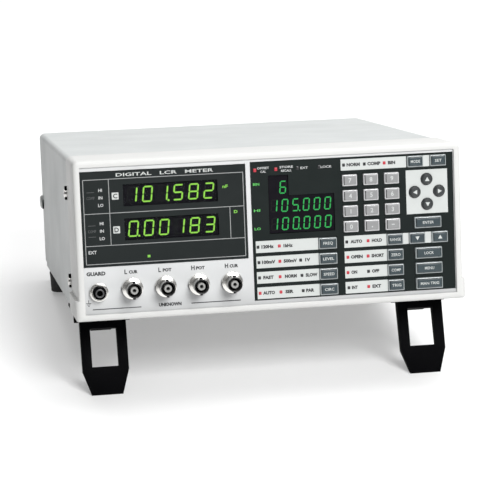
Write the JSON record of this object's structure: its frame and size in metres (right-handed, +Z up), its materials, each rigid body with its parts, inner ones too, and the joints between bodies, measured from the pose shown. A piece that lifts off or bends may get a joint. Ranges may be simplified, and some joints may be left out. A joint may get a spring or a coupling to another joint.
{
  "type": "lcr meter",
  "caption": "Bench LCR meter: metal case with a deep plastic bezel, smoked display window, keypad, coaxial test sockets and fold-out tilt legs.",
  "frame": {"origin": "centre of the footprint's box, on the bench top", "axes": "+X to the instrument's right seen from the front, +Y from the front panel towards the rear, +Z up; the case leans back 9.4 degrees on its legs"},
  "size_m": [0.262, 0.3206, 0.1631],
  "materials": {
    "cover_paint": "satin light grey paint with a fine texture",
    "bezel_plastic": "ivory moulded plastic, satin",
    "panel_paint": "silver grey paint, satin",
    "plated_steel": "zinc plated sheet",
    "smoked_window": "smoked acrylic",
    "dark_film": "dark printed film, satin",
    "display_module": "black display module",
    "grey_key": "grey moulded key",
    "slate_key": "dark slate moulded key",
    "nickel": "nickel plated brass",
    "black_plastic": "black moulded plastic",
    "black_rubber": "black rubber",
    "circuit_board": "green solder mask",
    "light_print": "light screen print",
    "dark_print": "dark screen print",
    "screw_steel": "nickel plated steel screws",
    "display_green": "lit green display segments",
    "lamp_red": "lit red indicator lamps",
    "transformer_core": "varnished laminations"
  },
  "bodies": {
    "case": {"bnc_high_current": "nickel", "bnc_high_voltage": "nickel", "bnc_low_current": "nickel", "bnc_low_voltage": "nickel", "bottom_chassis": "plated_steel", "display_window": "smoked_window", "front_bezel": "bezel_plastic", "front_board": "circuit_board", "front_foot_left": "black_plastic", "front_foot_right": "black_plastic", "front_panel": "panel_paint", "guard_terminal": "black_plastic", "handler_connector": "plated_steel", "keypad_panel": "dark_film", "main_board": "circuit_board", "main_display": "display_module", "mains_inlet": "black_plastic", "power_switch_body": "black_plastic", "power_transformer": "transformer_core", "rear_foot_left": "black_rubber", "rear_foot_right": "black_rubber", "rear_panel": "cover_paint", "remote_connector": "plated_steel", "sub_display": "display_module", "top_cover": "cover_paint"},
    "leg_left": {"leg_left": "black_plastic"},
    "leg_right": {"leg_right": "black_plastic"},
    "power_rocker": {"power_rocker": "black_plastic"},
    "key_0": {"key_0": "grey_key"},
    "key_point": {"key_point": "grey_key"},
    "key_minus": {"key_minus": "grey_key"},
    "key_1": {"key_1": "grey_key"},
    "key_2": {"key_2": "grey_key"},
    "key_3": {"key_3": "grey_key"},
    "key_4": {"key_4": "grey_key"},
    "key_5": {"key_5": "grey_key"},
    "key_6": {"key_6": "grey_key"},
    "key_7": {"key_7": "grey_key"},
    "key_8": {"key_8": "grey_key"},
    "key_9": {"key_9": "grey_key"},
    "key_circuit": {"key_circuit": "slate_key"},
    "key_speed": {"key_speed": "slate_key"},
    "key_level": {"key_level": "slate_key"},
    "key_frequency": {"key_frequency": "slate_key"},
    "key_source": {"key_source": "slate_key"},
    "key_compare": {"key_compare": "slate_key"},
    "key_zero": {"key_zero": "slate_key"},
    "key_range": {"key_range": "slate_key"},
    "key_range_down": {"key_range_down": "slate_key"},
    "key_mode": {"key_mode": "slate_key"},
    "key_range_up": {"key_range_up": "slate_key"},
    "key_set": {"key_set": "slate_key"},
    "key_trigger": {"key_trigger": "slate_key"},
    "key_menu": {"key_menu": "slate_key"},
    "key_lock": {"key_lock": "slate_key"},
    "key_enter": {"key_enter": "slate_key"},
    "key_up": {"key_up": "slate_key"},
    "key_left": {"key_left": "slate_key"},
    "key_right": {"key_right": "slate_key"},
    "key_down": {"key_down": "slate_key"}
  },
  "joints": [
    {"name": "leg_left_hinge", "type": "hinge", "parent": "case", "child": "leg_left", "pos_m": [-0.1098, -0.10158, 0.04657], "axis": [1, 0, 0], "range_deg": [0, 107.5]},
    {"name": "leg_right_hinge", "type": "hinge", "parent": "case", "child": "leg_right", "pos_m": [0.1098, -0.10158, 0.04657], "axis": [1, 0, 0], "range_deg": [0, 107.5]},
    {"name": "rocker_hinge", "type": "hinge", "parent": "case", "child": "power_rocker", "pos_m": [0.092, 0.14649, 0.08173], "axis": [1, 0, 0], "range_deg": [-20, 0]},
    {"name": "key_0_press", "type": "slide", "parent": "case", "child": "key_0", "axis": [0, 0.9866, -0.1633], "range_m": [0, 0.0008], "stiffness_N_per_m": 1200},
    {"name": "key_point_press", "type": "slide", "parent": "case", "child": "key_point", "axis": [0, 0.9866, -0.1633], "range_m": [0, 0.0008], "stiffness_N_per_m": 1200},
    {"name": "key_minus_press", "type": "slide", "parent": "case", "child": "key_minus", "axis": [0, 0.9866, -0.1633], "range_m": [0, 0.0008], "stiffness_N_per_m": 1200},
    {"name": "key_1_press", "type": "slide", "parent": "case", "child": "key_1", "axis": [0, 0.9866, -0.1633], "range_m": [0, 0.0008], "stiffness_N_per_m": 1200},
    {"name": "key_2_press", "type": "slide", "parent": "case", "child": "key_2", "axis": [0, 0.9866, -0.1633], "range_m": [0, 0.0008], "stiffness_N_per_m": 1200},
    {"name": "key_3_press", "type": "slide", "parent": "case", "child": "key_3", "axis": [0, 0.9866, -0.1633], "range_m": [0, 0.0008], "stiffness_N_per_m": 1200},
    {"name": "key_4_press", "type": "slide", "parent": "case", "child": "key_4", "axis": [0, 0.9866, -0.1633], "range_m": [0, 0.0008], "stiffness_N_per_m": 1200},
    {"name": "key_5_press", "type": "slide", "parent": "case", "child": "key_5", "axis": [0, 0.9866, -0.1633], "range_m": [0, 0.0008], "stiffness_N_per_m": 1200},
    {"name": "key_6_press", "type": "slide", "parent": "case", "child": "key_6", "axis": [0, 0.9866, -0.1633], "range_m": [0, 0.0008], "stiffness_N_per_m": 1200},
    {"name": "key_7_press", "type": "slide", "parent": "case", "child": "key_7", "axis": [0, 0.9866, -0.1633], "range_m": [0, 0.0008], "stiffness_N_per_m": 1200},
    {"name": "key_8_press", "type": "slide", "parent": "case", "child": "key_8", "axis": [0, 0.9866, -0.1633], "range_m": [0, 0.0008], "stiffness_N_per_m": 1200},
    {"name": "key_9_press", "type": "slide", "parent": "case", "child": "key_9", "axis": [0, 0.9866, -0.1633], "range_m": [0, 0.0008], "stiffness_N_per_m": 1200},
    {"name": "key_circuit_press", "type": "slide", "parent": "case", "child": "key_circuit", "axis": [0, 0.9866, -0.1633], "range_m": [0, 0.0008], "stiffness_N_per_m": 1200},
    {"name": "key_speed_press", "type": "slide", "parent": "case", "child": "key_speed", "axis": [0, 0.9866, -0.1633], "range_m": [0, 0.0008], "stiffness_N_per_m": 1200},
    {"name": "key_level_press", "type": "slide", "parent": "case", "child": "key_level", "axis": [0, 0.9866, -0.1633], "range_m": [0, 0.0008], "stiffness_N_per_m": 1200},
    {"name": "key_frequency_press", "type": "slide", "parent": "case", "child": "key_frequency", "axis": [0, 0.9866, -0.1633], "range_m": [0, 0.0008], "stiffness_N_per_m": 1200},
    {"name": "key_source_press", "type": "slide", "parent": "case", "child": "key_source", "axis": [0, 0.9866, -0.1633], "range_m": [0, 0.0008], "stiffness_N_per_m": 1200},
    {"name": "key_compare_press", "type": "slide", "parent": "case", "child": "key_compare", "axis": [0, 0.9866, -0.1633], "range_m": [0, 0.0008], "stiffness_N_per_m": 1200},
    {"name": "key_zero_press", "type": "slide", "parent": "case", "child": "key_zero", "axis": [0, 0.9866, -0.1633], "range_m": [0, 0.0008], "stiffness_N_per_m": 1200},
    {"name": "key_range_press", "type": "slide", "parent": "case", "child": "key_range", "axis": [0, 0.9866, -0.1633], "range_m": [0, 0.0008], "stiffness_N_per_m": 1200},
    {"name": "key_range_down_press", "type": "slide", "parent": "case", "child": "key_range_down", "axis": [0, 0.9866, -0.1633], "range_m": [0, 0.0008], "stiffness_N_per_m": 1200},
    {"name": "key_mode_press", "type": "slide", "parent": "case", "child": "key_mode", "axis": [0, 0.9866, -0.1633], "range_m": [0, 0.0008], "stiffness_N_per_m": 1200},
    {"name": "key_range_up_press", "type": "slide", "parent": "case", "child": "key_range_up", "axis": [0, 0.9866, -0.1633], "range_m": [0, 0.0008], "stiffness_N_per_m": 1200},
    {"name": "key_set_press", "type": "slide", "parent": "case", "child": "key_set", "axis": [0, 0.9866, -0.1633], "range_m": [0, 0.0008], "stiffness_N_per_m": 1200},
    {"name": "key_trigger_press", "type": "slide", "parent": "case", "child": "key_trigger", "axis": [0, 0.9866, -0.1633], "range_m": [0, 0.0008], "stiffness_N_per_m": 1200},
    {"name": "key_menu_press", "type": "slide", "parent": "case", "child": "key_menu", "axis": [0, 0.9866, -0.1633], "range_m": [0, 0.0008], "stiffness_N_per_m": 1200},
    {"name": "key_lock_press", "type": "slide", "parent": "case", "child": "key_lock", "axis": [0, 0.9866, -0.1633], "range_m": [0, 0.0008], "stiffness_N_per_m": 1200},
    {"name": "key_enter_press", "type": "slide", "parent": "case", "child": "key_enter", "axis": [0, 0.9866, -0.1633], "range_m": [0, 0.0008], "stiffness_N_per_m": 1200},
    {"name": "key_up_press", "type": "slide", "parent": "case", "child": "key_up", "axis": [0, 0.9866, -0.1633], "range_m": [0, 0.0008], "stiffness_N_per_m": 1200},
    {"name": "key_left_press", "type": "slide", "parent": "case", "child": "key_left", "axis": [0, 0.9866, -0.1633], "range_m": [0, 0.0008], "stiffness_N_per_m": 1200},
    {"name": "key_right_press", "type": "slide", "parent": "case", "child": "key_right", "axis": [0, 0.9866, -0.1633], "range_m": [0, 0.0008], "stiffness_N_per_m": 1200},
    {"name": "key_down_press", "type": "slide", "parent": "case", "child": "key_down", "axis": [0, 0.9866, -0.1633], "range_m": [0, 0.0008], "stiffness_N_per_m": 1200}
  ]
}
